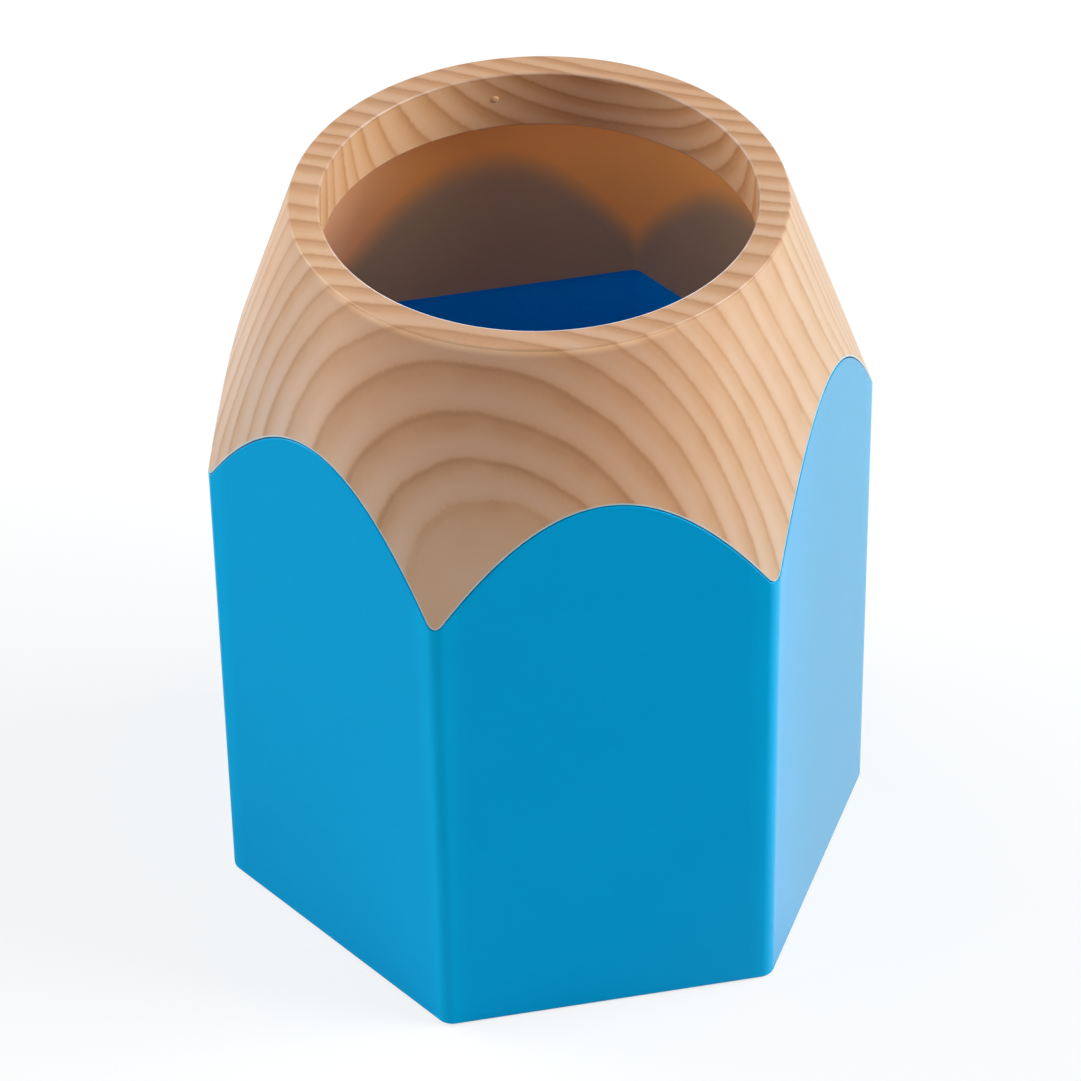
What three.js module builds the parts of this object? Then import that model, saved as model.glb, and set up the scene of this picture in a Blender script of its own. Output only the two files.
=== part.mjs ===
// Pencil-shaped pen holder: a six-sided cup with a tapered collar plugged into its mouth.
// Millimetres, +Z up, origin on the standing plane under the middle of the cup.

import * as THREE from 'three';
import { LoftGeometry } from 'three/addons/geometries/LoftGeometry.js';

// Overall form: a drafted hexagon below, sharpened by a cone above
const HEIGHT = 100;
const ACROSS_FLATS = 73.2; // at the standing plane
const CORNER_RADIUS = 2.2; // of the six upright edges
const WALL_DRAFT = THREE.MathUtils.degToRad(0.45); // each side face leans out going up
const RIM_RADIUS = 30.67;
const CONE_HALF_ANGLE = THREE.MathUtils.degToRad(18.62);

// Hexagonal shell
const SHELL_WALL = 1.7;
const SHELL_FLOOR = 2.4;
const SHELL_INNER_CORNER_RADIUS = 1.8;
const FLOOR_FILLET = 1.5;
const BASE_EDGE_RADIUS = 0.4;
const FOOT_WIDTH = 3.5; // flat band under the walls that the holder stands on
const FOOT_HEIGHT = 0.8;

// Tapered collar
const RIM_WIDTH = 3.77;
const RIM_THICKNESS = 2.2;
const RIM_EDGE_RADIUS = 0.45;
const BORE_DEPTH = 8.1; // height of the printed lip that hangs inside the mouth
const BORE_DRAFT = THREE.MathUtils.degToRad(1.1);
const LIP_WALL = 1.6;
const CONE_WALL = 2.2; // measured level
const LEAST_HOLLOW = 0.5; // upright wall kept between the skirt's ridge and the rim's underside
const SKIRT_WALL = 1;
const SKIRT_REACH = 3.2; // how far the skirt goes below the lowest point of the seam
const SKIRT_CORNER_RADIUS = 1.5;
const SKIRT_LEAD_IN = 0.5;

// Clearances between the two mouldings
const SKIRT_CLEARANCE = 0.3;
const SEAM_GAP = 0.3;

// Steps of the curves
const STEPS_PER_FLAT = 16;
const STEPS_PER_CORNER = 4;
const STEPS_PER_FILLET = 3;

const SIDES = 6;
const STEPS_PER_SIDE = STEPS_PER_FLAT + STEPS_PER_CORNER;
const STATIONS = Array.from({ length: SIDES * STEPS_PER_SIDE }, (_, index) => index);

const apothemAt = (z) => ACROSS_FLATS / 2 + z * Math.tan(WALL_DRAFT);
const coneRadiusAt = (z) => RIM_RADIUS + (HEIGHT - z) * Math.tan(CONE_HALF_ANGLE);

// A point of a round-cornered hexagon. Stations run along one flat, then round its corner.
function hexagonPoint(apothem, cornerRadius, station) {
  const side = Math.floor(station / STEPS_PER_SIDE);
  const step = station % STEPS_PER_SIDE;
  const faceAngle = (Math.PI / 3) * side + Math.PI / 6;
  const halfFlat = (apothem - cornerRadius) * Math.tan(Math.PI / SIDES);
  const along = Math.min(step / STEPS_PER_FLAT, 1);
  const turn = (Math.max(step - STEPS_PER_FLAT, 0) / STEPS_PER_CORNER) * (Math.PI / 3);
  const across = halfFlat * (2 * along - 1);
  const normal = new THREE.Vector2(Math.cos(faceAngle), Math.sin(faceAngle));
  const tangent = new THREE.Vector2(-normal.y, normal.x);
  return new THREE.Vector2()
    .addScaledVector(normal, apothem - cornerRadius)
    .addScaledVector(tangent, across)
    .add(new THREE.Vector2(cornerRadius, 0).rotateAround(new THREE.Vector2(), faceAngle + turn));
}

// The height at which the drafted hexagon, set in by an inset, runs into the cone, set in by its own.
// Both lean in a straight line, so the height is the lower root of a quadratic.
function meetingHeight(inset, cornerRadius, coneInset, station) {
  const foot = hexagonPoint(apothemAt(0) - inset, cornerRadius, station);
  const lean = hexagonPoint(apothemAt(1) - inset, cornerRadius, station).sub(foot);
  const coneFoot = coneRadiusAt(0) - coneInset;
  const taper = Math.tan(CONE_HALF_ANGLE);
  const squareTerm = lean.lengthSq() - taper ** 2;
  const halfLinearTerm = foot.dot(lean) + coneFoot * taper;
  const constantTerm = foot.lengthSq() - coneFoot ** 2;
  const root = Math.sqrt(halfLinearTerm ** 2 - squareTerm * constantTerm);
  return -constantTerm / (halfLinearTerm + root);
}

// The scalloped seam is where the cone cuts the six side faces: arches with a dip at each corner.
const seamHeights = STATIONS.map((station) => meetingHeight(0, CORNER_RADIUS, 0, station));
const SEAM_DIP = Math.min(...seamHeights);
const SKIRT_BOTTOM = SEAM_DIP - SKIRT_REACH;
const SKIRT_OUTER_INSET = SHELL_WALL + SKIRT_CLEARANCE;
const SKIRT_INNER_INSET = SKIRT_OUTER_INSET + SKIRT_WALL;
const BORE_RADIUS = RIM_RADIUS - RIM_WIDTH;
const BORE_BOTTOM = HEIGHT - BORE_DEPTH;
const RIM_UNDERSIDE = HEIGHT - RIM_THICKNESS;

// Rings of points, one point for each station, that the skins are stretched over
const placed = (point, z) => new THREE.Vector3(point.x, point.y, z);
const centreRing = (z) => STATIONS.map(() => new THREE.Vector3(0, 0, z));

function hexagonRing(inset, cornerRadius, z) {
  return STATIONS.map((station) => placed(hexagonPoint(apothemAt(z) - inset, cornerRadius, station), z));
}

// A level hexagon ring bent to follow the seam at a distance above it (or below, when negative).
function seamRing(inset, cornerRadius, rise) {
  return STATIONS.map((station) => {
    const z = seamHeights[station] + rise;
    return placed(hexagonPoint(apothemAt(z) - inset, cornerRadius, station), z);
  });
}

// A level circle whose points lie in the directions of a ring that it joins.
function roundRing(radius, z, directions) {
  return directions.map((point) => {
    const direction = new THREE.Vector2(point.x, point.y).setLength(radius);
    return placed(direction, z);
  });
}

// Inset and height pairs of a quarter round between a level face and an upright one.
function quarterRound(radius) {
  return Array.from({ length: STEPS_PER_FILLET + 1 }, (_, step) => {
    const angle = (step / STEPS_PER_FILLET) * (Math.PI / 2);
    return { inset: radius * (1 - Math.sin(angle)), lift: radius * (1 - Math.cos(angle)) };
  });
}

// Blue cup: foot band, side walls up to the seam, and the inside down to the floor.
function shellGeometry() {
  const footInset = SHELL_WALL + FOOT_WIDTH;
  const baseEdge = quarterRound(BASE_EDGE_RADIUS).map(({ inset, lift }) =>
    hexagonRing(inset, CORNER_RADIUS - inset, lift));
  const floorEdge = quarterRound(FLOOR_FILLET).reverse().map(({ inset, lift }) =>
    hexagonRing(SHELL_WALL + inset, SHELL_INNER_CORNER_RADIUS, SHELL_FLOOR + lift));
  return new LoftGeometry([
    centreRing(FOOT_HEIGHT),
    hexagonRing(footInset, SHELL_INNER_CORNER_RADIUS, FOOT_HEIGHT),
    hexagonRing(footInset, SHELL_INNER_CORNER_RADIUS, 0),
    ...baseEdge,
    seamRing(0, CORNER_RADIUS, -SEAM_GAP / 2),
    seamRing(SHELL_WALL, SHELL_INNER_CORNER_RADIUS, -SEAM_GAP / 2),
    ...floorEdge,
    centreRing(SHELL_FLOOR),
  ]);
}

// Inside of the collar: the six-sided skirt rises until it runs into the hollow of the cone.
function skirtInsideRing() {
  return STATIONS.map((station) => {
    const ridge = meetingHeight(SKIRT_INNER_INSET, SKIRT_CORNER_RADIUS, CONE_WALL, station);
    const z = Math.min(ridge, RIM_UNDERSIDE - LEAST_HOLLOW);
    return placed(hexagonPoint(apothemAt(z) - SKIRT_INNER_INSET, SKIRT_CORNER_RADIUS, station), z);
  });
}

// Wood-look collar: cone, flat rim, the lip round the bore, and the skirt inside the shell.
function collarGeometry() {
  const seam = seamRing(0, CORNER_RADIUS, 0);
  const shoulder = seam.map((point) => point.z + SEAM_GAP / 2);
  const coneFoot = seam.map((point, station) => {
    const direction = new THREE.Vector2(point.x, point.y).setLength(coneRadiusAt(shoulder[station]));
    return placed(direction, shoulder[station]);
  });
  const skirtTop = seamRing(SKIRT_OUTER_INSET, SKIRT_CORNER_RADIUS, SEAM_GAP / 2);
  const skirtInside = skirtInsideRing();
  const edge = quarterRound(RIM_EDGE_RADIUS);
  const outerEdge = edge.slice().reverse().map(({ inset, lift }) =>
    roundRing(coneRadiusAt(HEIGHT - lift) - inset, HEIGHT - lift, seam));
  const boreEdge = edge.map(({ inset, lift }) =>
    roundRing(BORE_RADIUS + inset, HEIGHT - lift, seam));
  const boreFoot = BORE_RADIUS + BORE_DEPTH * Math.tan(BORE_DRAFT);
  const lipRadius = boreFoot + LIP_WALL;
  const hollowRadius = coneRadiusAt(RIM_UNDERSIDE) - CONE_WALL;
  const rings = [
    coneFoot,
    ...outerEdge,
    ...boreEdge,
    roundRing(boreFoot, BORE_BOTTOM, seam),
    roundRing(lipRadius, BORE_BOTTOM, skirtInside),
    roundRing(lipRadius, RIM_UNDERSIDE, skirtInside),
    roundRing(hollowRadius, RIM_UNDERSIDE, skirtInside),
    skirtInside,
    hexagonRing(SKIRT_INNER_INSET, SKIRT_CORNER_RADIUS, SKIRT_BOTTOM),
    hexagonRing(SKIRT_OUTER_INSET + SKIRT_LEAD_IN, SKIRT_CORNER_RADIUS, SKIRT_BOTTOM),
    hexagonRing(SKIRT_OUTER_INSET, SKIRT_CORNER_RADIUS, SKIRT_BOTTOM + SKIRT_LEAD_IN),
    skirtTop,
    coneFoot,
  ];
  return new LoftGeometry(rings);
}

// Finishes: glossy dyed plastic, and plastic with a printed film of pale wood
const shellFinish = new THREE.MeshStandardMaterial({ color: 0x058fc6, roughness: 0.22, metalness: 0 });
const collarFinish = new THREE.MeshStandardMaterial({ color: 0xdeb48c, roughness: 0.38, metalness: 0 });

function piece(name, geometry, finish) {
  const mesh = new THREE.Mesh(geometry, finish);
  mesh.name = name;
  return mesh;
}

const penHolder = new THREE.Group();
penHolder.add(piece('hexagonal_shell', shellGeometry(), shellFinish));
penHolder.add(piece('tapered_collar', collarGeometry(), collarFinish));

export default penHolder;
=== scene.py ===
import math

import bmesh
import bpy
from mathutils import Matrix, Vector


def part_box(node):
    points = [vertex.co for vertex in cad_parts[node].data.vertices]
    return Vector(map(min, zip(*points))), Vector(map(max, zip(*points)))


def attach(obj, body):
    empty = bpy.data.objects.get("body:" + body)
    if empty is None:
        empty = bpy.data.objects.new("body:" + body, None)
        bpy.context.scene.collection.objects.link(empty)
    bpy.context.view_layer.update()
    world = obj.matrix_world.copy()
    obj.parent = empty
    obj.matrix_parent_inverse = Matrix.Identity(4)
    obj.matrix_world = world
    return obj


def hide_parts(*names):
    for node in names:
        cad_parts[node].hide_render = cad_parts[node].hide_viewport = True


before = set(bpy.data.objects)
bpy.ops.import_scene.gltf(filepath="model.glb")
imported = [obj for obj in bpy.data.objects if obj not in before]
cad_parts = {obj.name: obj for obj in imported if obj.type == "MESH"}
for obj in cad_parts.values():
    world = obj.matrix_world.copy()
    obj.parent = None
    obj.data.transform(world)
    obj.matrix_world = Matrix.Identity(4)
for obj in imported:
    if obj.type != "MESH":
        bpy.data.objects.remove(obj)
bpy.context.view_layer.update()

# The camera stands where the photograph was taken from: above the holder, a little to the
# left of its front face, with a long lens that keeps the side faces nearly parallel.
CAMERA_AIM = Vector((-0.00053, 0.00011, 0.04654))
CAMERA_AZIMUTH = math.radians(258.71)  # of the camera, seen from the holder
CAMERA_ELEVATION = math.radians(38.54)
CAMERA_DISTANCE = 0.8542
CAMERA_ROLL = math.radians(-1.01)
CAMERA_LENS = 223.9  # millimetres
SENSOR_WIDTH = 36  # millimetres

out_from_aim = Vector((
    math.cos(CAMERA_ELEVATION) * math.cos(CAMERA_AZIMUTH),
    math.cos(CAMERA_ELEVATION) * math.sin(CAMERA_AZIMUTH),
    math.sin(CAMERA_ELEVATION),
))
lens = bpy.data.cameras.new("camera")
lens.lens = CAMERA_LENS
lens.sensor_width = SENSOR_WIDTH
camera = bpy.data.objects.new("camera", lens)
camera.matrix_world = (
    Matrix.Translation(CAMERA_AIM + out_from_aim * CAMERA_DISTANCE)
    @ out_from_aim.to_track_quat("Z", "Y").to_matrix().to_4x4()
    @ Matrix.Rotation(CAMERA_ROLL, 4, "Z")
)
bpy.context.scene.collection.objects.link(camera)
bpy.context.scene.camera = camera

# Hexagonal shell: the blue cup, one hollow moulding of dyed glossy plastic with drafted
# walls. A cone cuts its mouth to arches, where the collar plugs in, and a flat band round
# its recessed underside is what the holder stands on.
MM = 0.001
SIDES = 6
TURN_PER_SIDE = math.radians(360 / SIDES)
WALL_DRAFT = math.radians(0.45)
CORNER_RADIUS = 2.2 * MM
SHELL_WALL = 1.7 * MM
SHELL_FLOOR = 2.4 * MM
SHELL_INNER_CORNER_RADIUS = 1.8 * MM
FLOOR_FILLET = 1.5 * MM
BASE_EDGE_RADIUS = 0.4 * MM
FOOT_WIDTH = 3.5 * MM
FOOT_HEIGHT = 0.8 * MM
SPRUE_MARK_RADIUS = 1.5 * MM  # a shallow dimple in the middle of the underside
SPRUE_MARK_TOP_RADIUS = 1.2 * MM
SPRUE_MARK_DEPTH = 0.3 * MM
RIM_RADIUS = 30.67 * MM
CONE_HALF_ANGLE = math.radians(18.62)
SEAM_GAP = 0.14 * MM
SEAM_EDGE_RADIUS = 0.15 * MM
STEPS_PER_FLAT = 40
STEPS_PER_CORNER = 10
STEPS_PER_EDGE = 4
STEPS_PER_SIDE = STEPS_PER_FLAT + STEPS_PER_CORNER
STATIONS = range(SIDES * STEPS_PER_SIDE)
SHARP_EDGE_ANGLE = math.radians(40)
SAME_POINT_DISTANCE = 0.001 * MM
OUTSIDE, INSIDE = 0, 1

BLUE = (0.0, 0.300, 0.600, 1)
# Painted shade: the outside's blue is deeper on the right-hand walls
BLUE_PAINTED_SHADE_RIGHT = (0.0, 0.262, 0.490, 1)
# The inside's brighter blue is painted light, for daylight through the blue walls
BLUE_INSIDE_PAINTED_LIGHT = (0.0, 0.330, 0.800, 1)
BLUE_SHINE_THROUGH = (0.0, 0.010, 0.070, 1)  # daylight that the walls and floor let through
# Paler blue of the flow marks, also mixed in as painted light at the corners
PALE_BLUE_FLOW_AND_CORNER_LIGHT = (0.0, 0.620, 1.000, 1)
BLUE_SPECK = (0.020, 0.400, 0.700, 1)
BLUE_REFLECTION = (0.0, 0.600, 1.000, 1)
BLACK = (0, 0, 0, 1)
PAINTED_SHADE_RIGHT_AT = (23 * MM, 34 * MM)  # going right, where the painted shade on the right-hand walls starts and is deepest
CORNER_PAINTED_LIGHT_AT = (40.8 * MM, 42.0 * MM)  # from the middle out, the same for the painted light that makes the corners' blue paler

rim_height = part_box("tapered_collar")[1].z
shell_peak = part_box("hexagonal_shell")[1]  # its height at an arch's top, and its half depth there


def apothem_at(z):
    """Distance from the middle to a side face, which leans out going up."""
    return shell_peak.y - (shell_peak.z - z) * math.tan(WALL_DRAFT)


def cone_radius_at(z):
    return RIM_RADIUS + (rim_height - z) * math.tan(CONE_HALF_ANGLE)


def hexagon_point(apothem, corner_radius, station):
    """A point of a round-cornered hexagon. Stations run along one flat, then round its corner."""
    side, step = divmod(station, STEPS_PER_SIDE)
    face_angle = TURN_PER_SIDE * (side + 0.5)
    turn = TURN_PER_SIDE * max(step - STEPS_PER_FLAT, 0) / STEPS_PER_CORNER
    half_flat = (apothem - corner_radius) * math.tan(math.pi / SIDES)
    across = half_flat * (2 * min(step / STEPS_PER_FLAT, 1) - 1)
    normal = Vector((math.cos(face_angle), math.sin(face_angle)))
    corner = Vector((math.cos(face_angle + turn), math.sin(face_angle + turn)))
    tangent = Vector((-normal.y, normal.x))
    return normal * (apothem - corner_radius) + tangent * across + corner * corner_radius


def meeting_height(inset, corner_radius, cone_inset, station):
    """The height at which the drafted hexagon, set in by an inset, runs into the cone, set in too.

    Both lean in a straight line, so the height is the lower root of a quadratic.
    """
    foot = hexagon_point(apothem_at(0) - inset, corner_radius, station)
    top = hexagon_point(apothem_at(rim_height) - inset, corner_radius, station)
    lean = (top - foot) / rim_height
    cone_foot = cone_radius_at(0) - cone_inset
    taper = math.tan(CONE_HALF_ANGLE)
    square_term = lean.length_squared - taper ** 2
    half_linear_term = foot.dot(lean) + cone_foot * taper
    constant_term = foot.length_squared - cone_foot ** 2
    root = math.sqrt(half_linear_term ** 2 - square_term * constant_term)
    return -constant_term / (half_linear_term + root)


seam_heights = [meeting_height(0, CORNER_RADIUS, 0, station) for station in STATIONS]


def seam_steepness(station):
    """How many times further it is straight up across a strip along the seam than square across it."""
    before = hexagon_point(apothem_at(seam_heights[station - 1]), CORNER_RADIUS, station - 1)
    after_station = (station + 1) % len(STATIONS)
    after = hexagon_point(apothem_at(seam_heights[after_station]), CORNER_RADIUS, after_station)
    slope = (seam_heights[after_station] - seam_heights[station - 1]) / (after - before).length
    return math.sqrt(1 + slope * slope)


steepness = [seam_steepness(station) for station in STATIONS]


def hexagon_ring(inset, corner_radius, z):
    return [
        hexagon_point(apothem_at(z) - inset, corner_radius, station).to_3d() + Vector((0, 0, z))
        for station in STATIONS
    ]


def seam_ring(inset, corner_radius, rise):
    """A hexagon ring bent to follow the seam at a distance square across it, up or down."""
    ring = []
    for station in STATIONS:
        z = seam_heights[station] + rise * steepness[station]
        point = hexagon_point(apothem_at(z) - inset, corner_radius, station)
        ring.append(Vector((point.x, point.y, z)))
    return ring


def round_ring(radius, z, directions):
    """A level circle whose points lie in the directions of a ring that it joins."""
    return [
        (point.to_2d().normalized() * radius).to_3d() + Vector((0, 0, z)) for point in directions
    ]


def edge_round(radius):
    """Inset and lift pairs of a quarter round between a level face and an upright one."""
    angles = [step / STEPS_PER_EDGE * math.pi / 2 for step in range(STEPS_PER_EDGE + 1)]
    return [(radius * (1 - math.sin(angle)), radius * (1 - math.cos(angle))) for angle in angles]


def moulded_piece(name, bands, closed):
    """A piece whose skin is stretched over rings. Each band is a ring and the material above it."""
    skin = bmesh.new()
    rows = [[skin.verts.new(point) for point in ring] for ring, _ in bands]
    if closed:
        rows.append(rows[0])
    for (_, material_index), lower, upper in zip(bands, rows, rows[1:]):
        for station in STATIONS:
            after = (station + 1) % len(STATIONS)
            face = skin.faces.new((lower[station], lower[after], upper[after], upper[station]))
            face.material_index = material_index
            face.smooth = True
    bmesh.ops.remove_doubles(skin, verts=skin.verts, dist=SAME_POINT_DISTANCE)
    mesh = bpy.data.meshes.new(name)
    skin.to_mesh(mesh)
    skin.free()
    mesh.set_sharp_from_angle(angle=SHARP_EDGE_ANGLE)
    piece = bpy.data.objects.new(name, mesh)
    bpy.context.scene.collection.objects.link(piece)
    piece.modifiers.new("even_shading", "WEIGHTED_NORMAL").keep_sharp = True
    return piece


foot_inset = SHELL_WALL + FOOT_WIDTH
underside_edge = hexagon_ring(foot_inset, SHELL_INNER_CORNER_RADIUS, FOOT_HEIGHT)
outside_rings = [
    round_ring(0, FOOT_HEIGHT + SPRUE_MARK_DEPTH, underside_edge),
    round_ring(SPRUE_MARK_TOP_RADIUS, FOOT_HEIGHT + SPRUE_MARK_DEPTH, underside_edge),
    round_ring(SPRUE_MARK_RADIUS, FOOT_HEIGHT, underside_edge),
    underside_edge,
    hexagon_ring(foot_inset, SHELL_INNER_CORNER_RADIUS, 0),
]
outside_rings += [
    hexagon_ring(inset, CORNER_RADIUS - inset, lift) for inset, lift in edge_round(BASE_EDGE_RADIUS)
]
outside_rings += [
    seam_ring(inset, CORNER_RADIUS - inset, -SEAM_GAP / 2 - lift)
    for inset, lift in reversed(edge_round(SEAM_EDGE_RADIUS))
]
inside_rings = [
    seam_ring(SHELL_WALL - inset, SHELL_INNER_CORNER_RADIUS, -SEAM_GAP / 2 - lift)
    for inset, lift in edge_round(SEAM_EDGE_RADIUS)
]
inside_rings += [
    hexagon_ring(SHELL_WALL + inset, SHELL_INNER_CORNER_RADIUS, SHELL_FLOOR + lift)
    for inset, lift in reversed(edge_round(FLOOR_FILLET))
]
inside_rings.append([Vector((0, 0, SHELL_FLOOR)) for station in STATIONS])
shell = moulded_piece(
    "hexagonal_shell_skin",
    [(ring, OUTSIDE) for ring in outside_rings] + [(ring, INSIDE) for ring in inside_rings],
    closed=False,
)


class Wire:
    """A socket of a node tree. Arithmetic on it adds Math nodes, and node() adds any other node."""

    def __init__(self, tree, socket=None):
        self.tree = tree
        self.socket = socket

    def node(self, kind, inputs, output=0, stops=(), **settings):
        """Adds a node with its settings, then its inputs, and returns one of its outputs."""
        made = self.tree.nodes.new("ShaderNode" + kind)
        for setting, choice in settings.items():
            setattr(made, setting, choice)
        for index, (place, level) in enumerate(stops):
            if index < 2:
                stop = made.color_ramp.elements[index]
                stop.position = place
            else:
                stop = made.color_ramp.elements.new(place)
            stop.color = (level, level, level, 1)
        for name, value in inputs.items():
            if isinstance(value, Wire):
                self.tree.links.new(value.socket, made.inputs[name])
            else:
                made.inputs[name].default_value = value
        return Wire(self.tree, made.outputs[output]) if made.outputs else None

    def math(self, operation, *others):
        return self.node("Math", dict(enumerate((self, *others))), operation=operation)

    def __add__(self, other):
        return self.math("ADD", other)

    def __sub__(self, other):
        return self.math("SUBTRACT", other)

    def __rsub__(self, other):
        return self.node("Math", {0: other, 1: self}, operation="SUBTRACT")

    def __mul__(self, other):
        return self.math("MULTIPLY", other)

    def __truediv__(self, other):
        return self.math("DIVIDE", other)

    __radd__ = __add__
    __rmul__ = __mul__


def new_material(name):
    """An empty material, and a wire that its nodes are made from."""
    material = bpy.data.materials.new(name)
    material.use_nodes = True
    material.node_tree.nodes.clear()
    return material, Wire(material.node_tree)


def noise(place, scale, detail=2.0, roughness=0.5):
    """Even noise from 0 to 1, with so many features in each unit of the place wired to it."""
    inputs = {"Vector": place, "Scale": scale, "Detail": detail, "Roughness": roughness}
    return place.node("TexNoise", inputs)


def between(value, low, high, interpolation="LINEAR"):
    """0 where a value is at one limit, 1 where it is at the other, and held at these past them."""
    inputs = {"Value": value, "From Min": low, "From Max": high}
    return value.node("MapRange", inputs, interpolation_type=interpolation)


def mixed(share, first, second):
    """The first colour, blended towards the second by a share."""
    return share.node("Mix", {0: share, 6: first, 7: second}, output=2, data_type="RGBA")


def blue_plastic(name, light_blue, blue_in_painted_shade, shine_through=None):
    """Dyed glossy plastic: an even deep blue with faint flow marks, specks and a soft ripple. Painted shade
    deepens the blue on the right-hand walls, and painted light makes the corners paler.
    """
    material, start = new_material(name)
    place = start.node("TexCoord", {}, output="Object")
    rightward, backward = [start.node("SeparateXYZ", {0: place}, output=axis) for axis in range(2)]
    clouds = noise(place, 55.0, detail=3.0)
    # Painted shade: the blue deepens going right
    painted_shade_right = between(rightward + 4 * MM * clouds, *PAINTED_SHADE_RIGHT_AT, "SMOOTHSTEP")
    blue = mixed(painted_shade_right, light_blue, blue_in_painted_shade)
    reach = (rightward * rightward + backward * backward).math("SQRT")
    # Painted light: the rounded corners are paler, with stronger flow marks there
    corner = between(reach, *CORNER_PAINTED_LIGHT_AT, "SMOOTHSTEP")
    blue = mixed((0.07 + 0.10 * corner) * clouds + 0.05 * corner, blue, PALE_BLUE_FLOW_AND_CORNER_LIGHT)
    specks = start.node("ValToRGB", {"Fac": noise(place, 2300.0, detail=1.0)}, stops=((0.78, 0), (0.84, 1)))
    colour = mixed(specks * 0.5, blue, BLUE_SPECK)
    ripple = noise(place, 900.0, detail=3.0)
    finish = {
        "Base Color": colour,
        "Roughness": 0.13 + 0.05 * clouds,
        "IOR": 1.47,
        "Specular Tint": BLUE_REFLECTION,
        "Normal": start.node("Bump", {"Strength": 0.03, "Distance": 0.2 * MM, "Height": ripple}),
    }
    if shine_through:
        finish["Emission Color"] = mixed(clouds, shine_through, BLACK)
        finish["Emission Strength"] = 1.0
    start.node("OutputMaterial", {"Surface": start.node("BsdfPrincipled", finish)})
    return material


shell.data.materials.append(blue_plastic("blue_gloss_plastic", BLUE, BLUE_PAINTED_SHADE_RIGHT))
# The inside is painted a brighter blue and glows faintly: painted light for daylight through the walls
shell.data.materials.append(
    blue_plastic("blue_plastic_inside", BLUE_INSIDE_PAINTED_LIGHT, BLUE_INSIDE_PAINTED_LIGHT, shine_through=BLUE_SHINE_THROUGH)
)
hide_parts("hexagonal_shell")
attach(shell, "root")

# Tapered collar: one moulding in light brown plastic, printed with a film of pale pine on
# its cone, rim and lip. A six-sided skirt below it plugs into the shell's mouth, and the
# inside below the lip is left as moulded.
COLLAR_CLEARANCE = 0.3 * MM
RIM_WIDTH = 3.77 * MM
RIM_THICKNESS = 2.2 * MM
RIM_EDGE_RADIUS = 0.18 * MM
MOUTH_EDGE_RADIUS = 0.35 * MM
LIP_DEPTH = 8.1 * MM
LIP_DRAFT = math.radians(1.1)
LIP_WALL = 1.6 * MM
LIP_EDGE_RADIUS = 0.35 * MM
CONE_WALL = 2.2 * MM
LEAST_HOLLOW = 0.5 * MM  # upright wall kept between the skirt's ridge and the rim's underside
SKIRT_WALL = 1.0 * MM
SKIRT_REACH = 3.2 * MM
SKIRT_CORNER_RADIUS = 1.5 * MM
SKIRT_LEAD_IN = 0.5 * MM
NUB_AZIMUTH = math.radians(90)  # of the small dome that the sprue left inside the mouth
NUB_DROP = 3.6 * MM
NUB_RADIUS = 0.5 * MM
NUB_HEIGHT = 0.2 * MM
NUB_PROFILE = ((1.0, -0.5), (1.0, 0.0), (0.88, 0.45), (0.6, 0.8), (0.25, 0.97))  # width, height
NUB_STEPS = 16
# The collar's edge along the seam carries a painted highlight, a thin bluish-grey line
SEAM_HIGHLIGHT_BAND_WIDTH = 0.08 * MM
BARE, PRINTED, SEAM_HIGHLIGHT = 0, 1, 2

skirt_outer_inset = SHELL_WALL + COLLAR_CLEARANCE
skirt_inner_inset = skirt_outer_inset + SKIRT_WALL
skirt_bottom = min(seam_heights) - SKIRT_REACH
bore_radius = RIM_RADIUS - RIM_WIDTH
lip_bottom = rim_height - LIP_DEPTH
bore_foot = bore_radius + LIP_DEPTH * math.tan(LIP_DRAFT)
lip_back = bore_foot + LIP_WALL
rim_underside = rim_height - RIM_THICKNESS
hollow_radius = cone_radius_at(rim_underside) - CONE_WALL


def cone_ring(inset, rise):
    """A ring on the cone, set in from it, that follows the seam at a distance above it."""
    ring = []
    for point in seam_ring(0, CORNER_RADIUS, rise):
        flat = point.to_2d().normalized() * (cone_radius_at(point.z) - inset)
        ring.append(Vector((flat.x, flat.y, point.z)))
    return ring


def skirt_inside_ring():
    """Where the six-sided skirt runs into the hollow of the cone."""
    ring = []
    for station in STATIONS:
        ridge = meeting_height(skirt_inner_inset, SKIRT_CORNER_RADIUS, CONE_WALL, station)
        z = min(ridge, rim_underside - LEAST_HOLLOW)
        point = hexagon_point(apothem_at(z) - skirt_inner_inset, SKIRT_CORNER_RADIUS, station)
        ring.append(Vector((point.x, point.y, z)))
    return ring


around = seam_ring(0, CORNER_RADIUS, 0)
inside_around = skirt_inside_ring()
seam_highlight_rings = [
    cone_ring(inset, SEAM_GAP / 2 + lift) for inset, lift in edge_round(SEAM_EDGE_RADIUS)
]
cone_foot_ring = cone_ring(0, SEAM_GAP / 2 + SEAM_EDGE_RADIUS + SEAM_HIGHLIGHT_BAND_WIDTH)
rim_edge_rings = [
    round_ring(cone_radius_at(rim_height - lift) - inset, rim_height - lift, around)
    for inset, lift in reversed(edge_round(RIM_EDGE_RADIUS))
]
mouth_edge_rings = [
    round_ring(bore_radius + inset, rim_height - lift, around)
    for inset, lift in edge_round(MOUTH_EDGE_RADIUS)
]
lip_edge_rings = [
    round_ring(bore_foot + inset, lip_bottom + lift, around)
    for inset, lift in reversed(edge_round(LIP_EDGE_RADIUS))
]
bare_rings = [
    round_ring(lip_back - inset, lip_bottom + lift, inside_around)
    for inset, lift in edge_round(LIP_EDGE_RADIUS)
]
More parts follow.
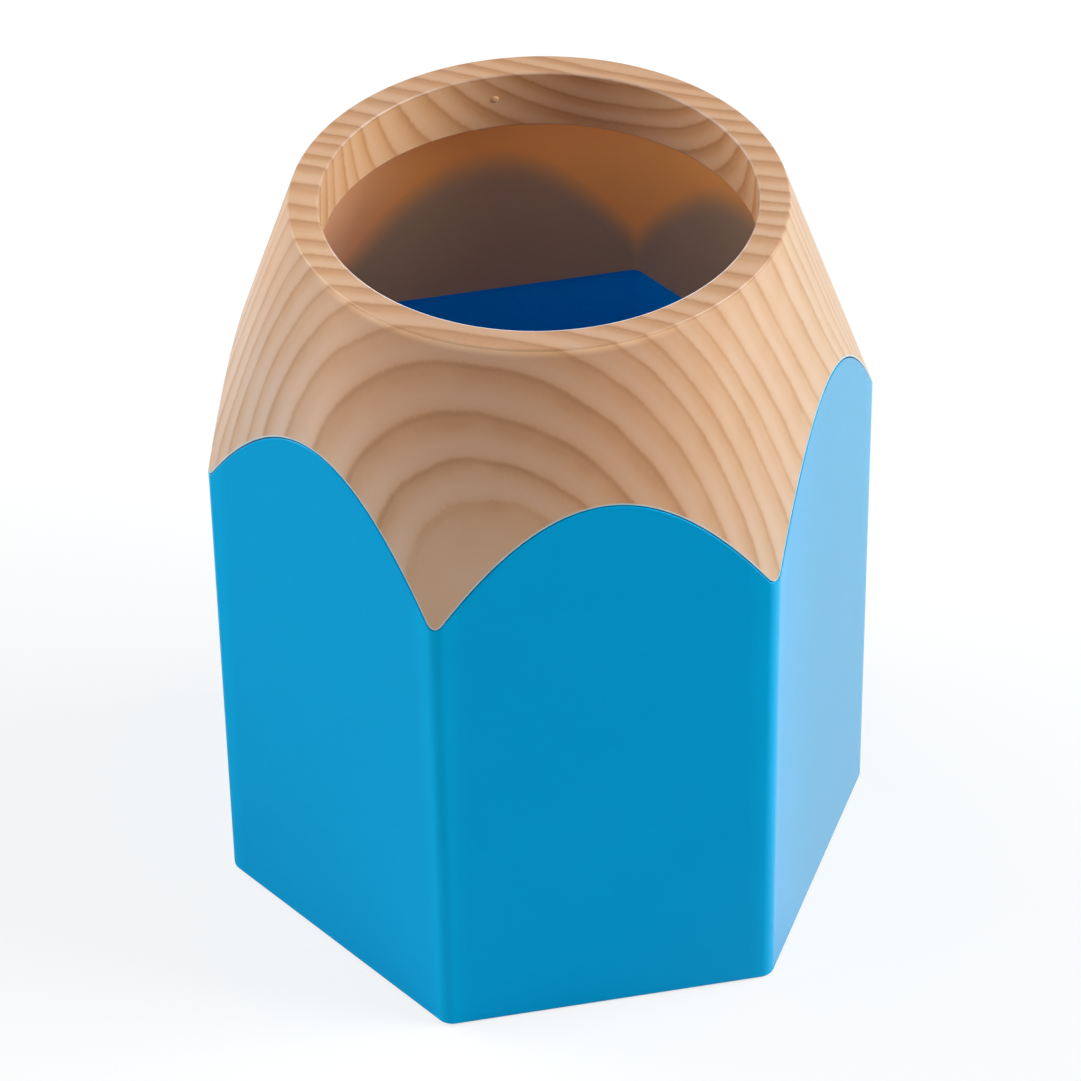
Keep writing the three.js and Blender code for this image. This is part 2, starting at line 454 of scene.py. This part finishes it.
bare_rings += [
    round_ring(lip_back, rim_underside, inside_around),
    round_ring(hollow_radius, rim_underside, inside_around),
    inside_around,
    hexagon_ring(skirt_inner_inset, SKIRT_CORNER_RADIUS, skirt_bottom),
    hexagon_ring(skirt_outer_inset + SKIRT_LEAD_IN, SKIRT_CORNER_RADIUS, skirt_bottom),
    hexagon_ring(skirt_outer_inset, SKIRT_CORNER_RADIUS, skirt_bottom + SKIRT_LEAD_IN),
    seam_ring(skirt_outer_inset, SKIRT_CORNER_RADIUS, SEAM_GAP / 2),
]
printed_rings = [cone_foot_ring] + rim_edge_rings + mouth_edge_rings + lip_edge_rings
collar_bands = [(ring, SEAM_HIGHLIGHT) for ring in seam_highlight_rings]
collar_bands += [(ring, PRINTED) for ring in printed_rings]
collar_bands += [(ring, BARE) for ring in bare_rings]
collar = moulded_piece("tapered_collar_skin", collar_bands, closed=True)

# Each point is marked with how far it lies above the line that the blue wall's shade draws
# on the inside, which follows the seam, and with whether it lies on the mouth's edge, whitened by wear and
# a painted highlight.
SHADE_LIFT = 3.5 * MM  # of its lowest points over the seam's
SHADE_BOW = 0.946
lowest_seam = min(seam_heights)
wear_and_highlight_rings = mouth_edge_rings[1:-1]
ring_has_wear_and_highlight = [any(ring is wear_and_highlight_ring for wear_and_highlight_ring in wear_and_highlight_rings) for ring, _ in collar_bands]
above_shade = collar.data.attributes.new("above_shade", "FLOAT", "POINT")
mouth_edge_wear_and_highlight = collar.data.attributes.new("mouth_edge_wear_and_highlight", "FLOAT", "POINT")
for index, vertex in enumerate(collar.data.vertices):
    ring_number, station = divmod(index, len(STATIONS))
    shade_height = lowest_seam + SHADE_LIFT + (seam_heights[station] - lowest_seam) * SHADE_BOW
    above_shade.data[index].value = vertex.co.z - shade_height
    mouth_edge_wear_and_highlight.data[index].value = 1.0 if ring_has_wear_and_highlight[ring_number] else 0.0


def add_sprue_nub(piece):
    """Joins the small dome that the sprue left on the lip, its foot sunk into the lip."""
    skin = bmesh.new()
    skin.from_mesh(piece.data)
    inward = Vector((-math.cos(NUB_AZIMUTH), -math.sin(NUB_AZIMUTH), 0))
    sideways = Vector((inward.y, -inward.x, 0))
    upward = Vector((0, 0, 1))
    bore_radius_there = bore_radius + NUB_DROP * math.tan(LIP_DRAFT)
    middle = upward * (rim_height - NUB_DROP) - inward * bore_radius_there
    rows = []
    for width, height in NUB_PROFILE:
        row = []
        for step in range(NUB_STEPS):
            angle = step / NUB_STEPS * 2 * math.pi
            flat = sideways * math.cos(angle) + upward * math.sin(angle)
            point = middle + flat * NUB_RADIUS * width + inward * NUB_HEIGHT * height
            row.append(skin.verts.new(point))
        rows.append(row)
    faces = [skin.faces.new(list(reversed(rows[0]))), skin.faces.new(rows[-1])]
    for lower, upper in zip(rows, rows[1:]):
        for step in range(NUB_STEPS):
            after = (step + 1) % NUB_STEPS
            faces.append(skin.faces.new((lower[step], lower[after], upper[after], upper[step])))
    for face in faces:
        face.material_index = PRINTED
        face.smooth = True
    bmesh.ops.recalc_face_normals(skin, faces=faces)
    skin.to_mesh(piece.data)
    skin.free()


add_sprue_nub(collar)

# The print is one flat film, stretched over the cone, across the rim and down the lip.
CONE_FILM_STRETCH = 0.953  # film taken up by each step down the cone
LIP_FILM_STRETCH = 0.776  # and by each step down the lip
FILM_UNIT = 40.0  # millimetres
LATE_WOOD = (  # where each dark line of growth ends across the film, and how strong it is
    (-59, 0.35), (-49.5, 0.50), (-46.2, 0.95), (-41.8, 1.00), (-36.6, 0.95), (-32.3, 0.75),
    (-28.5, 0.80), (-25.5, 0.70), (-22, 0.75), (-19.5, 0.65), (-16.5, 0.80), (-12.5, 0.75),
    (-9.5, 0.70), (-5, 0.80), (-1, 0.85), (1.5, 0.75), (4.5, 0.85), (6.5, 0.75), (9, 0.85),
    (12, 0.80), (15.5, 0.85), (19, 0.80), (22, 0.90), (25, 0.80), (27.5, 0.85), (30.5, 0.80),
    (33, 0.90), (37, 0.85), (41, 0.80), (46, 0.85), (51, 0.80), (57, 0.80),
)
SEASON = (  # how dark the wood is from one line's end, at 0, to the next one's, at 1
    (0.0, 0.94), (1.0, 1.00), (0.035, 0.66), (0.07, 0.36), (0.12, 0.16), (0.20, 0.05), (0.36, 0.03),
    (0.50, 0.18), (0.64, 0.40), (0.76, 0.52), (0.86, 0.62), (0.92, 0.82), (0.96, 1.00),
)
PAINTED_SHADE_AZIMUTH = math.radians(246)  # the front side of the cone, where painted shade makes the print browner
DARKER_AZIMUTH = math.radians(192)  # and where it is a little darker
PAINTED_HIGHLIGHT_AZIMUTH = math.radians(259)  # the side of the mouth's edge, towards the camera, where a painted highlight whitens it

CREAM = (0.560, 0.366, 0.236, 1)
TAN = (0.522, 0.300, 0.160, 1)
FIBRE_BROWN = (0.500, 0.290, 0.150, 1)
# Painted light off the white table, low down and towards the sides
PAINTED_TABLE_LIGHT_PINK = (0.530, 0.380, 0.280, 1)
# Painted shade on the front of the cone
PAINTED_SHADE_BROWN = (0.478, 0.266, 0.155, 1)
# Painted light: a paler band on the cone just under the rim's edge
PAINTED_LIGHT_UNDER_RIM = (0.740, 0.460, 0.270, 1)
LIP_BROWN = (0.600, 0.335, 0.165, 1)
# Painted light on the left of the lip
LIP_PAINTED_LIGHT = (0.660, 0.410, 0.228, 1)
RIM_FAR_BROWN = (0.500, 0.290, 0.155, 1)
# Painted shade on the rim's near side
RIM_PAINTED_SHADE = (0.480, 0.290, 0.185, 1)
# Painted sheen: the cone greyer and cooler on its right
PAINTED_SHEEN_GREY = (0.475, 0.385, 0.290, 1)
RIM_SHADE = (0.930, 0.935, 0.970, 1)
SIDE_SHADE = (0.880, 0.880, 0.910, 1)
LATE_WOOD_GOLD = (0.900, 0.795, 0.635, 1)
LATE_WOOD_CORE = (0.790, 0.735, 0.690, 1)
# White of the mouth's edge: wear, and a painted highlight on its front
WEAR_AND_HIGHLIGHT_WHITE = (0.920, 0.950, 1.000, 1)


def darkened(share, first, by):
    """The first colour, multiplied by another to a share."""
    return share.node("Mix", {0: share, 6: first, 7: by}, output=2, data_type="RGBA", blend_type="MULTIPLY")


def wood_film():
    """The printed film: rings of pale pine that run over the cone, across the rim and down the lip, with
    painted light and shade laid over the print.
    """
    material, start = new_material("wood_print_plastic")
    place = start.node("TexCoord", {}, output="Object")
    x, y, z = [start.node("SeparateXYZ", {0: place}, output=axis) / MM for axis in range(3)]
    radius = (x * x + y * y).math("SQRT")
    depth = rim_height / MM - z

    def towards(azimuth):
        """How squarely a point faces a direction: 1 there, and 0 a quarter turn away."""
        return (x * math.cos(azimuth) + y * math.sin(azimuth)) / radius

    # Where a point lies on the collar, as masks of 0 or 1
    outside = radius.math("GREATER_THAN", lip_back / MM)
    in_mouth = depth.math("GREATER_THAN", MOUTH_EDGE_RADIUS / MM) * (1 - outside)
    on_cone = depth.math("GREATER_THAN", 2 * RIM_EDGE_RADIUS / MM) * outside
    on_rim = (1 - on_cone) * (1 - in_mouth)

    # Its place on the flat film, which is unrolled outwards down the cone and inwards down the lip:
    # u to the right and v to the back
    reach = radius.node("Clamp", {0: radius, 1: bore_radius / MM, 2: RIM_RADIUS / MM})
    reach = reach + depth * (outside * (CONE_FILM_STRETCH + LIP_FILM_STRETCH) - LIP_FILM_STRETCH)
    u = x / radius * reach / FILM_UNIT
    v = y / radius * reach / FILM_UNIT
    film = start.node("CombineXYZ", {0: u * FILM_UNIT, 1: v * FILM_UNIT})

    # Lines of growth: mostly level strips across the film that bow round the front. The height of
    # a strip is a polynomial in u and v, and the smooth limit on v keeps it tame at the back.
    w = v.math("SMOOTH_MIN", 0.95, 0.5)
    bow = u * u * w * w * 0.19 + u * w * w * 0.12 - w * w * w * 0.046
    twist = u * u * u * (w * 0.131 - 0.108) + u * w * w * w * 0.076
    growth = v + u * 0.552 - w * w * 0.022 + w * w * w * w * 0.027 + bow + twist
    growth = growth * FILM_UNIT

    # Slow wander of the lines, and fine teeth along the grain
    wander = noise(film, 0.09, detail=2.0) - 0.5
    grain = start.node("VectorMath", {0: film, 1: (1.6, 0.35, 1.0)}, operation="MULTIPLY")
    teeth = noise(grain, 1.1, detail=3.0, roughness=0.6) - 0.5
    ragged = noise(film, 1.6, detail=2.0) - 0.5
    growth = growth + wander * 1.1 + teeth * 0.36 + ragged * 0.20

    # How far through its year the wood at a point grew, and how dark that makes it
    first, last = LATE_WOOD[0][0], LATE_WOOD[-1][0]
    count = len(LATE_WOOD) - 1
    along = (growth - first) / (last - first)
    spots = [(line - first) / (last - first) for line, _ in LATE_WOOD]
    years = [(spot, index / count) for index, spot in enumerate(spots)]
    year = start.node("ValToRGB", {"Fac": along}, stops=years) * count
    late = start.node("ValToRGB", {"Fac": year.math("FRACT")}, stops=SEASON)
    strengths = [(spot, strength) for spot, (_, strength) in zip(spots, LATE_WOOD)]
    strength = start.node("ValToRGB", {"Fac": along}, stops=strengths)
    patchy = noise(film, 0.16, detail=3.0)
    leftward = between(x, 6.0, -14.0)
    rightward = between(x, 16.0, 32.0)
    fainter = on_cone * (0.5 + 0.2 * rightward) + in_mouth * (0.2 + 0.35 * leftward)
    late = late * (strength * (0.45 + 1.1 * patchy)) * (1.55 - fainter)

    # Early wood: cream to tan, with fine fibres, and painted light off the white table that makes it pinker
    # and greyer low down and towards the sides
    broad = noise(grain, 0.10, detail=3.0)
    fibre = noise(grain, 2.6, detail=4.0, roughness=0.65)
    ringwise = start.node("CombineXYZ", {0: growth * 0.30, 1: u, 2: v})
    tan = between(0.5 * broad + 0.5 * noise(ringwise, 1.0), 0.42, 0.60)
    pale = mixed(tan * 0.65, CREAM, TAN)
    pale = mixed(fibre * 0.35, pale, FIBRE_BROWN)
    low = between(depth - 0.25 * x, 10.0, 34.0, "SMOOTHSTEP")
    pale = mixed(low * outside * (0.5 + 0.0006 * x * x), pale, PAINTED_TABLE_LIGHT_PINK)

    # The print's slow changes of colour round the cone, the lip and the rim, with painted shade on the
    # cone's front and left and on the rim's near side and left, painted light under the rim's edge and on
    # the lip's left, and a painted cool sheen on the cone's right
    front_facing = towards(PAINTED_SHADE_AZIMUTH)
    front_side = between(front_facing, 0.60, 0.93, "SMOOTHSTEP")
    over_edge = between(depth, 0.0, 0.12)
    under_rim = between(depth, 0.1, 1.3, "SMOOTHSTEP")
    # Painted shade: the print browner on the front of the cone
    pale = mixed(0.9 * front_side * on_cone * under_rim * (1 - 0.7 * low), pale, PAINTED_SHADE_BROWN)
    # Painted light: a paler band just under the rim's edge on the front
    pale = mixed(front_side * outside * over_edge * (1 - under_rim), pale, PAINTED_LIGHT_UNDER_RIM)
    pale = mixed(in_mouth * 0.6, pale, LIP_BROWN)
    # Painted light on the lip's left
    pale = mixed(in_mouth * leftward, pale, LIP_PAINTED_LIGHT)
    far_side = between(front_facing, -0.1, -0.8)
    pale = mixed(0.6 * far_side * on_rim, pale, RIM_FAR_BROWN)
    # Painted shade on the rim's near side
    pale = mixed(0.4 * front_side * on_rim, pale, RIM_PAINTED_SHADE)
    # Painted cool sheen on the cone's right
    pale = mixed(0.5 * rightward * on_cone, pale, PAINTED_SHEEN_GREY)
    darker = between(towards(DARKER_AZIMUTH), 0.955, 1.0)
    pale = darkened(darker * on_cone, pale, SIDE_SHADE)
    pale = darkened(between(x, -27.0, -17.0) * on_rim, pale, RIM_SHADE)

    # Late wood over it, golden with a dark core, and the mouth's edge whitened by patchy wear and a painted
    # highlight on its front
    colour = darkened(1.7 * late, pale, LATE_WOOD_GOLD)
    colour = darkened((late - 0.40) * 1.5, colour, LATE_WOOD_CORE)
    wear_and_highlight = start.node("Attribute", {}, output="Fac", attribute_name="mouth_edge_wear_and_highlight")
    # Painted highlight on the mouth's front edge, over a little patchy wear all round
    highlight_side = between(towards(PAINTED_HIGHLIGHT_AZIMUTH), 0.25, 0.80)
    colour = mixed(wear_and_highlight * (0.10 * patchy + 0.95 * highlight_side), colour, WEAR_AND_HIGHLIGHT_WHITE)

    finish = {
        "Base Color": colour,
        "Roughness": 0.42 + 0.08 * fibre,
        "Coat Weight": 0.15,
        "Coat Roughness": 0.25,
        "Normal": start.node("Bump", {"Strength": 0.05, "Distance": 0.1 * MM, "Height": fibre}),
    }
    start.node("OutputMaterial", {"Surface": start.node("BsdfPrincipled", finish)})
    return material


# Colours of the painted highlight along the seam
SEAM_HIGHLIGHT_GREY = (0.340, 0.450, 0.500, 1)
SEAM_HIGHLIGHT_PALE = (0.480, 0.590, 0.640, 1)


def seam_edge_highlight():
    """A painted highlight along the collar's edge at the seam: a thin line of bluish grey."""
    material, start = new_material("seam_edge_highlight")
    place = start.node("TexCoord", {}, output="Object")
    highlight_patches = noise(place, 300.0, detail=2.0)
    colour = mixed(highlight_patches, SEAM_HIGHLIGHT_GREY, SEAM_HIGHLIGHT_PALE)
    finish = {"Base Color": colour, "Roughness": 0.25 + 0.1 * highlight_patches}
    start.node("OutputMaterial", {"Surface": start.node("BsdfPrincipled", finish)})
    return material


BARE_PLASTIC_IN_SHADE = (0.455, 0.350, 0.200, 1)
BARE_PLASTIC_LIT = (1.000, 0.505, 0.130, 1)
BARE_PLASTIC_LIT_AT_LEFT = (0.930, 0.520, 0.330, 1)
BARE_PLASTIC_GLOW = (0.030, 0.007, 0.0, 1)


def bare_collar_plastic():
    """The unprinted inside: light brown plastic, warm where daylight shines through its wall."""
    material, start = new_material("bare_collar_plastic")
    place = start.node("TexCoord", {}, output="Object")
    x = start.node("SeparateXYZ", {0: place}, output=0) / MM
    height = start.node("Attribute", {}, output="Fac", attribute_name="above_shade") / MM
    blur = noise(place, 60.0, detail=1.0)
    lit = between(height + 2.0 * blur, -4.0, 2.5, "SMOOTHSTEP")
    lit_colour = mixed(between(x, -9.0, -27.0), BARE_PLASTIC_LIT, BARE_PLASTIC_LIT_AT_LEFT)
    grain = noise(place, 1500.0, detail=2.0)
    finish = {
        "Base Color": mixed(lit, BARE_PLASTIC_IN_SHADE, lit_colour),
        "Roughness": 0.42 + 0.08 * grain,
        "Emission Color": mixed(lit, BLACK, BARE_PLASTIC_GLOW),
        "Emission Strength": 1.0,
        "Normal": start.node("Bump", {"Strength": 0.08, "Distance": 0.1 * MM, "Height": grain}),
    }
    start.node("OutputMaterial", {"Surface": start.node("BsdfPrincipled", finish)})
    return material


collar.data.materials.append(bare_collar_plastic())
collar.data.materials.append(wood_film())
collar.data.materials.append(seam_edge_highlight())
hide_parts("tapered_collar")
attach(collar, "root")

# Studio: a white table top that keeps the holder's shadow, five soft boxes round the holder
# and an even surround.
TABLE_SIDE = 30.0
TABLE_DROP = 0.2 * MM
TABLE_WHITE = (0.82, 0.82, 0.82, 1)
WHITE = (1, 1, 1, 1)
GLEAM_AZIMUTH = math.radians(41)  # towards the half of the table that the gloss mirrors
GLEAM_DIM = (0.07, 0.07, 0.07, 1)
GLEAM_BRIGHT = (0.84, 0.84, 0.84, 1)
SURROUND_LIGHT = 0.02
SOFT_BOX_DISTANCE = 0.9
SOFT_BOX_SIDE = 0.6
SOFT_BOXES = (  # name, azimuth and elevation in degrees, power in watts
    ("right_soft_box", 345, 35, 11.2),
    ("left_soft_box", 190, 35, 1.1),
    ("low_left_soft_box", 165, 15, 3.8),
    ("back_left_soft_box", 140, 40, 4.8),
    ("front_soft_box", 236, 35, 1.1),
)


def ray_kinds(start):
    """Three masks: a ray from the camera, one off a gloss, and one through something clear."""
    kinds = ("Is Camera Ray", "Is Glossy Ray", "Is Transmission Ray")
    return [start.node("LightPath", {}, output=kind) for kind in kinds]


def white_table():
    """Nearly white to the eye, with the holder's shadow, and fading to plain white far off.

    The gloss mirrors only its brighter far half.
    """
    material, start = new_material("white_table")
    seen, glossy, through = ray_kinds(start)
    place = start.node("TexCoord", {}, output="Object")
    x, y = [start.node("SeparateXYZ", {0: place}, output=axis) for axis in range(2)]
    behind = x * math.cos(GLEAM_AZIMUTH) + y * math.sin(GLEAM_AZIMUTH)
    gleam = mixed(between(behind, -0.03, 0.01, "SMOOTHSTEP"), GLEAM_DIM, GLEAM_BRIGHT)
    far_off = between(x * x + y * y, 0.02, 0.5)
    lit = start.node("BsdfDiffuse", {"Color": TABLE_WHITE})
    white = start.node("Emission", {"Color": WHITE, "Strength": 1.0})
    mirrored = start.node("Emission", {"Color": gleam, "Strength": 1.0})
    paper = start.node("MixShader", {0: seen * (0.75 + 0.25 * far_off) + through, 1: lit, 2: white})
    shown = start.node("MixShader", {0: glossy, 1: paper, 2: mirrored})
    start.node("OutputMaterial", {"Surface": shown})
    return material


table_corners = [
    (side * TABLE_SIDE / 2, end * TABLE_SIDE / 2, -TABLE_DROP)
    for side, end in ((-1, -1), (1, -1), (1, 1), (-1, 1))
]
table_mesh = bpy.data.meshes.new("table")
table_mesh.from_pydata(table_corners, [], [(0, 1, 2, 3)])
table_mesh.materials.append(white_table())
table = bpy.data.objects.new("table", table_mesh)
bpy.context.scene.collection.objects.link(table)

for name, azimuth, elevation, power in SOFT_BOXES:
    lamp = bpy.data.lights.new(name, "AREA")
    lamp.size = SOFT_BOX_SIDE
    lamp.energy = power
    turn = math.radians(azimuth)
    rise = math.radians(elevation)
    away = Vector((math.cos(rise) * math.cos(turn), math.cos(rise) * math.sin(turn), math.sin(rise)))
    soft_box = bpy.data.objects.new(name, lamp)
    soft_box.location = away * SOFT_BOX_DISTANCE
    soft_box.rotation_euler = away.to_track_quat("Z", "Y").to_euler()
    bpy.context.scene.collection.objects.link(soft_box)

world = bpy.data.worlds.new("surround")
bpy.context.scene.world = world
world.use_nodes = True
world.node_tree.nodes.clear()
surround = Wire(world.node_tree)
seen, glossy, through = ray_kinds(surround)
even_light = surround.node("Background", {"Color": WHITE, "Strength": SURROUND_LIGHT})
white_backdrop = surround.node("Background", {"Color": WHITE, "Strength": 1.0})
backdrop = surround.node("MixShader", {0: seen + glossy + through, 1: even_light, 2: white_backdrop})
surround.node("OutputWorld", {"Surface": backdrop})

bpy.context.scene.view_settings.view_transform = "Standard"
